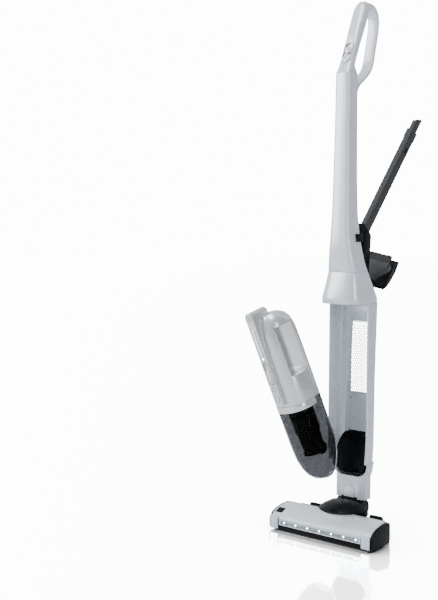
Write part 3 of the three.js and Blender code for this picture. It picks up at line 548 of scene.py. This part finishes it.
# Clip and crevice tool: a black clip round the stem holds a dark grey two-part crevice tool.
# The tool is blow-thin ABS with a moulded oval on its broad side; its blade slides in the sleeve.
softened("accessory_clip", BLACK)
softened("crevice_sleeve", CHARCOAL)
softened("crevice_blade", CHARCOAL)
lean = Matrix.Rotation(math.radians(7.2), 4, "Y") @ Matrix.Rotation(math.radians(-35), 4, "X")
tool_place = Matrix.Translation((0.004, 0.086, 0.655)) @ lean
oval_half_width, oval_half_height, oval_points = 0.0045, 0.009, 24
oval = []
for i in range(oval_points):
    a = 2 * math.pi * i / oval_points
    oval.append((oval_half_width * math.sin(a), oval_half_height * math.cos(a)))
oval_place = tool_place @ Matrix.Translation((0.0080, 0, 0.235)) @ Matrix.Rotation(math.radians(90), 4, "Z")
hand_over("crevice_oval", plate_mesh("crevice_oval", oval, oval_place, 0.0004), BLACK, "sleeve")

# Furniture brush: a dark grey body on a black frame, with nylon tufts packed in five rows in its mouth.
# The tufts lean a little every way, as cut bristles do.
softened("brush_body", CHARCOAL)
softened("brush_frame", BLACK)
brush_turn = Matrix.Rotation(math.radians(8), 4, "Z")
brush_place = tool_place @ Matrix.Translation((0.0125, 0.0882, -0.0144)) @ brush_turn
tuft_rows, tufts_across = 5, 34
brush_tufts = []
for row in range(tuft_rows):
    stagger = 0.0004 if row % 2 else -0.0004
    for i in range(tufts_across):
        x = -0.0278 + 0.0556 * i / (tufts_across - 1) + stagger
        y = -0.0083 + 0.0062 * row / (tuft_rows - 1)
        stray = Vector((0.03 * math.sin(i * 1.7), 0.02 * math.cos(i), 1))
        brush_tufts.append((tuple(brush_place @ Vector((x, y, -0.0036))), tuple(brush_place.to_3x3() @ stray)))
pegs("furniture_tufts", brush_tufts, BRISTLE, "brush", 0.00075, 0.0011, 0.0230, sides=6,
     unevenness=0.03, replaces=("brush_bristles",))

# Camera and studio: a portrait view from the front right, a little above the floor head.
# A glossy pale floor, a white surround and three soft lamps; none of it belongs to the vacuum.
camera_data = bpy.data.cameras.new("camera")
camera_data.lens = 58.97
camera_data.sensor_width = 36.0
camera_data.shift_x = -0.0047
camera_data.shift_y = 0.0078
camera = bpy.data.objects.new("camera", camera_data)
camera.location = (1.148, -1.800, 0.681)
camera.rotation_euler = (math.radians(85.24), 0.0, math.radians(39.33))
bpy.context.scene.collection.objects.link(camera)
bpy.context.scene.camera = camera


def soft_lamp(name, place, aim, size, power):
    data = bpy.data.lights.new(name, "AREA")
    data.shape = "RECTANGLE"
    data.size, data.size_y = size
    data.energy = power
    lamp = bpy.data.objects.new(name, data)
    lamp.location = place
    lamp.rotation_euler = (Vector(aim) - Vector(place)).to_track_quat("-Z", "Y").to_euler()
    bpy.context.scene.collection.objects.link(lamp)


soft_lamp("lamp_front_left", (-1.9, -1.9, 1.7), (0, 0, 0.6), (1.2, 2.4), 75)
soft_lamp("lamp_right", (2.6, -0.9, 1.2), (0, 0, 0.6), (0.5, 2.0), 24)
soft_lamp("lamp_top", (0.0, -0.9, 3.0), (0, 0, 0.4), (1.4, 1.4), 40)

surround = bpy.data.worlds.new("surround")
surround.use_nodes = True
bpy.context.scene.world = surround
sky = surround.node_tree
sky.nodes.clear()
sky_out = sky.nodes.new("ShaderNodeOutputWorld")
sky_seen = sky.nodes.new("ShaderNodeBackground")
sky_lit = sky.nodes.new("ShaderNodeBackground")
sky_mix = sky.nodes.new("ShaderNodeMixShader")
sky_path = sky.nodes.new("ShaderNodeLightPath")
sky_side = sky.nodes.new("ShaderNodeTexCoord")
sky_split = sky.nodes.new("ShaderNodeSeparateXYZ")
sky_shade = sky.nodes.new("ShaderNodeMapRange")
sky_seen.inputs["Color"].default_value = (1, 1, 1, 1)
sky_seen.inputs["Strength"].default_value = 14.0
sky_lit.inputs["Color"].default_value = (0.90, 0.95, 1.0, 1)
sky_shade.inputs["From Min"].default_value = -0.9
sky_shade.inputs["From Max"].default_value = 0.9
sky_shade.inputs["To Min"].default_value = 1.5
sky_shade.inputs["To Max"].default_value = 0.42
sky.links.new(sky_side.outputs["Generated"], sky_split.inputs["Vector"])
sky.links.new(sky_split.outputs["X"], sky_shade.inputs["Value"])
sky.links.new(sky_shade.outputs["Result"], sky_lit.inputs["Strength"])
sky.links.new(sky_path.outputs["Is Camera Ray"], sky_mix.inputs["Fac"])
sky.links.new(sky_lit.outputs["Background"], sky_mix.inputs[1])
sky.links.new(sky_seen.outputs["Background"], sky_mix.inputs[2])
sky.links.new(sky_mix.outputs["Shader"], sky_out.inputs["Surface"])

# The floor is bright white where only the camera sees it, with a painted shadow darkening that white close
# round the head, and keeps a soft mirror image round the head.
floor_mesh = bpy.data.meshes.new("floor")
reach = 14.0
floor_mesh.from_pydata(
    [(-reach, -reach, 0), (reach, -reach, 0), (reach, reach, 0), (-reach, reach, 0)], [], [(0, 1, 2, 3)])
floor = bpy.data.objects.new("floor", floor_mesh)
floor.location.z = -0.0006
bpy.context.scene.collection.objects.link(floor)
floor_finish = bpy.data.materials.new("floor_finish")
floor_finish.use_nodes = True
floor_tree = floor_finish.node_tree
floor_shader = floor_tree.nodes["Principled BSDF"]
floor_shader.inputs["Base Color"].default_value = (0.80, 0.80, 0.82, 1)
floor_shader.inputs["Roughness"].default_value = 0.5
floor_shader.inputs["Specular IOR Level"].default_value = 0.2
floor_glow = floor_tree.nodes.new("ShaderNodeEmission")
floor_glow.inputs["Strength"].default_value = 14.0
floor_gloss = floor_tree.nodes.new("ShaderNodeBsdfGlossy")
floor_gloss.inputs["Roughness"].default_value = 0.05
floor_gloss.inputs["Color"].default_value = (10.5, 10.5, 10.5, 1)
floor_sheen = floor_tree.nodes.new("ShaderNodeMixShader")
floor_sheen.inputs["Fac"].default_value = 0.75
floor_path = floor_tree.nodes.new("ShaderNodeLightPath")
floor_seen = floor_tree.nodes.new("ShaderNodeMixShader")
floor_out = floor_tree.nodes["Material Output"]
# Painted contact shadow: ambient occlusion from the vacuum darkens the floor's camera-seen glow near the head.
floor_painted_shadow = floor_tree.nodes.new("ShaderNodeAmbientOcclusion")
floor_painted_shadow.inputs["Distance"].default_value = 0.16
floor_painted_shadow.samples = 12
painted_shadow_falloff = floor_tree.nodes.new("ShaderNodeMath")
painted_shadow_falloff.operation = "POWER"
painted_shadow_falloff.inputs[1].default_value = 5.0
floor_level = floor_tree.nodes.new("ShaderNodeMath")
floor_level.operation = "MULTIPLY"
floor_level.inputs[1].default_value = 14.0
floor_tree.links.new(floor_painted_shadow.outputs["AO"], painted_shadow_falloff.inputs[0])
floor_tree.links.new(painted_shadow_falloff.outputs["Value"], floor_level.inputs[0])
floor_tree.links.new(floor_level.outputs["Value"], floor_glow.inputs["Strength"])
floor_tree.links.new(floor_glow.outputs["Emission"], floor_sheen.inputs[1])
floor_tree.links.new(floor_gloss.outputs["BSDF"], floor_sheen.inputs[2])
floor_tree.links.new(floor_path.outputs["Is Camera Ray"], floor_seen.inputs["Fac"])
floor_tree.links.new(floor_shader.outputs["BSDF"], floor_seen.inputs[1])
floor_tree.links.new(floor_sheen.outputs["Shader"], floor_seen.inputs[2])
floor_tree.links.new(floor_seen.outputs["Shader"], floor_out.inputs["Surface"])
floor_mesh.materials.append(floor_finish)
